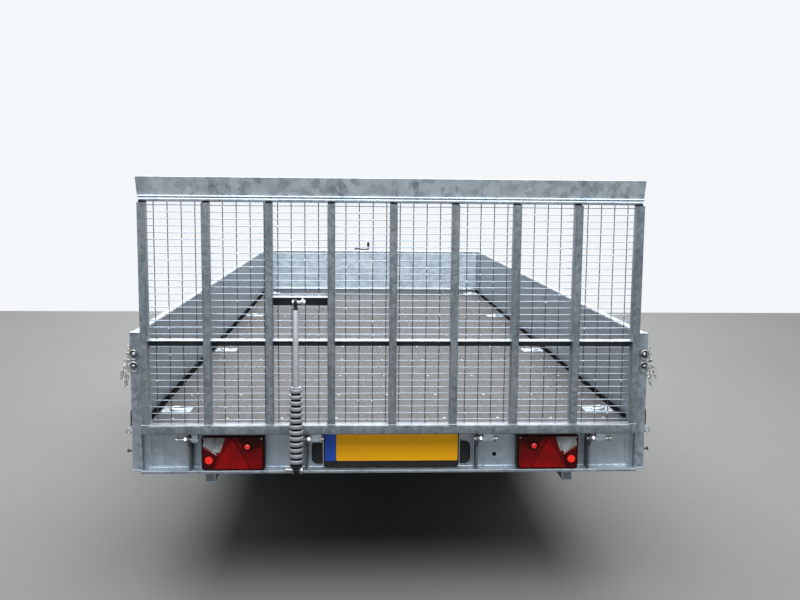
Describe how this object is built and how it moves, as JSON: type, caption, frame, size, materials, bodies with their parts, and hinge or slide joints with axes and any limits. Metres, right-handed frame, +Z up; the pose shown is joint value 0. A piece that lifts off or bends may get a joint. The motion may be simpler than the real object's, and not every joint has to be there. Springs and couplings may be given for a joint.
{
  "type": "utility trailer",
  "caption": "Flat-bed tandem-axle utility trailer with a plywood deck, fixed sheet-steel sides, a spring-assisted mesh loading ramp, V drawbar with ball coupling, and jockey wheel.",
  "frame": {"origin": "on the ground under the middle of the trailer's overall box", "axes": "+Y forwards to the coupling, +X to the right, +Z up"},
  "size_m": [2.008, 6.343, 1.604],
  "materials": {
    "galvanised_steel": "hot-dip galvanised, spangled, dull",
    "cast_iron": "sand-cast, dull",
    "zinc_plate": "bright zinc plated",
    "plywood": "phenolic-faced anti-slip film",
    "black_plastic": "moulded, fine grain",
    "red_lens": "prismatic lens",
    "amber_lens": "prismatic lens",
    "plate_yellow": "retro-reflective sheet",
    "tyre_rubber": "matt rubber",
    "roller_rubber": "solid rubber",
    "rim_silver": "silver lacquer",
    "gaiter_rubber": "moulded rubber",
    "coupling_black": "black paint"
  },
  "bodies": {
    "chassis": {"chassis_rails": "galvanised_steel", "crossmembers": "galvanised_steel", "side_raves": "galvanised_steel", "rear_beam": "galvanised_steel", "front_beam": "galvanised_steel", "corner_posts": "galvanised_steel", "deck_boards": "plywood", "lashing_points": "zinc_plate", "side_wall_left": "galvanised_steel", "side_wall_right": "galvanised_steel", "headboard": "galvanised_steel", "ramp_hinge_brackets": "galvanised_steel", "ramp_latches": "zinc_plate", "assist_mount": "coupling_black", "tail_lamp_left": "red_lens", "tail_lamp_right": "red_lens", "plate_holder": "black_plastic", "number_plate": "plate_yellow", "marker_lamps": "amber_lens", "axle_front": "galvanised_steel", "axle_rear": "galvanised_steel", "leaf_springs": "coupling_black", "spring_hangers": "galvanised_steel", "spring_rockers": "galvanised_steel", "drawbar": "galvanised_steel", "overrun_housing": "galvanised_steel", "coupling_shaft": "galvanised_steel", "shaft_gaiter": "gaiter_rubber", "coupling_head": "cast_iron", "coupling_handle": "coupling_black", "parking_brake_lever": "coupling_black", "brake_rod": "zinc_plate", "jockey_outer_tube": "galvanised_steel", "jockey_clamp": "galvanised_steel", "prop_stand_brackets": "galvanised_steel"},
    "loading_ramp": {"ramp_frame": "galvanised_steel", "ramp_mesh": "galvanised_steel", "ramp_lip": "galvanised_steel", "ramp_hinge_lugs": "galvanised_steel"},
    "assist_lower": {"assist_rod": "galvanised_steel", "assist_spring": "galvanised_steel"},
    "assist_upper": {"assist_tube": "galvanised_steel"},
    "jockey_stem": {"jockey_inner_tube": "zinc_plate"},
    "jockey_caster": {"jockey_fork": "zinc_plate"},
    "jockey_roller": {"jockey_wheel": "roller_rubber"},
    "prop_stand_left": {"prop_stand_left": "galvanised_steel"},
    "prop_stand_right": {"prop_stand_right": "galvanised_steel"},
    "wheel_front_left": {"tyre_front_left": "tyre_rubber", "rim_front_left": "rim_silver", "hub_drum_front_left": "cast_iron"},
    "wheel_front_right": {"tyre_front_right": "tyre_rubber", "rim_front_right": "rim_silver", "hub_drum_front_right": "cast_iron"},
    "wheel_rear_left": {"tyre_rear_left": "tyre_rubber", "rim_rear_left": "rim_silver", "hub_drum_rear_left": "cast_iron"},
    "wheel_rear_right": {"tyre_rear_right": "tyre_rubber", "rim_rear_right": "rim_silver", "hub_drum_rear_right": "cast_iron"}
  },
  "joints": [
    {"name": "ramp_lower", "type": "hinge", "parent": "chassis", "child": "loading_ramp", "pos_m": [0, -3.0885, 0.617], "axis": [1, 0, 0], "range_deg": [0, 128]},
    {"name": "assist_swing", "type": "hinge", "parent": "chassis", "child": "assist_lower", "pos_m": [-0.361, -3.1465, 0.515], "axis": [1, 0, 0], "range_deg": [0, 130]},
    {"name": "assist_slide", "type": "slide", "parent": "assist_lower", "child": "assist_upper", "axis": [0, 0, -1], "range_m": [0, 0.2105], "deforming": ["assist_spring"]},
    {"name": "front_left_wheel_spin", "type": "hinge", "parent": "chassis", "child": "wheel_front_left", "pos_m": [-0.857, -0.4485, 0.2625], "axis": [1, 0, 0], "continuous": true},
    {"name": "front_right_wheel_spin", "type": "hinge", "parent": "chassis", "child": "wheel_front_right", "pos_m": [0.857, -0.4485, 0.2625], "axis": [1, 0, 0], "continuous": true},
    {"name": "rear_left_wheel_spin", "type": "hinge", "parent": "chassis", "child": "wheel_rear_left", "pos_m": [-0.857, -1.1085, 0.2625], "axis": [1, 0, 0], "continuous": true},
    {"name": "rear_right_wheel_spin", "type": "hinge", "parent": "chassis", "child": "wheel_rear_right", "pos_m": [0.857, -1.1085, 0.2625], "axis": [1, 0, 0], "continuous": true},
    {"name": "jockey_raise", "type": "slide", "parent": "chassis", "child": "jockey_stem", "axis": [0, 0, 1], "range_m": [-0.04, 0.16]},
    {"name": "jockey_swivel", "type": "hinge", "parent": "jockey_stem", "child": "jockey_caster", "pos_m": [-0.145, 2.7215, 0.2], "axis": [0, 0, 1], "continuous": true},
    {"name": "jockey_wheel_spin", "type": "hinge", "parent": "jockey_caster", "child": "jockey_roller", "pos_m": [-0.145, 2.6695, 0.1], "axis": [1, 0, 0], "continuous": true},
    {"name": "prop_stand_left_swing", "type": "hinge", "parent": "chassis", "child": "prop_stand_left", "pos_m": [-0.71, -2.5335, 0.43], "axis": [1, 0, 0], "range_deg": [0, 90]},
    {"name": "prop_stand_right_swing", "type": "hinge", "parent": "chassis", "child": "prop_stand_right", "pos_m": [0.71, -2.5335, 0.43], "axis": [1, 0, 0], "range_deg": [0, 90]}
  ],
  "couplings": [
    {"joint": "assist_swing", "follows": "ramp_lower", "ratio": 1.0141},
    {"joint": "assist_slide", "follows": "ramp_lower", "m_per_rad": 0.09409}
  ]
}
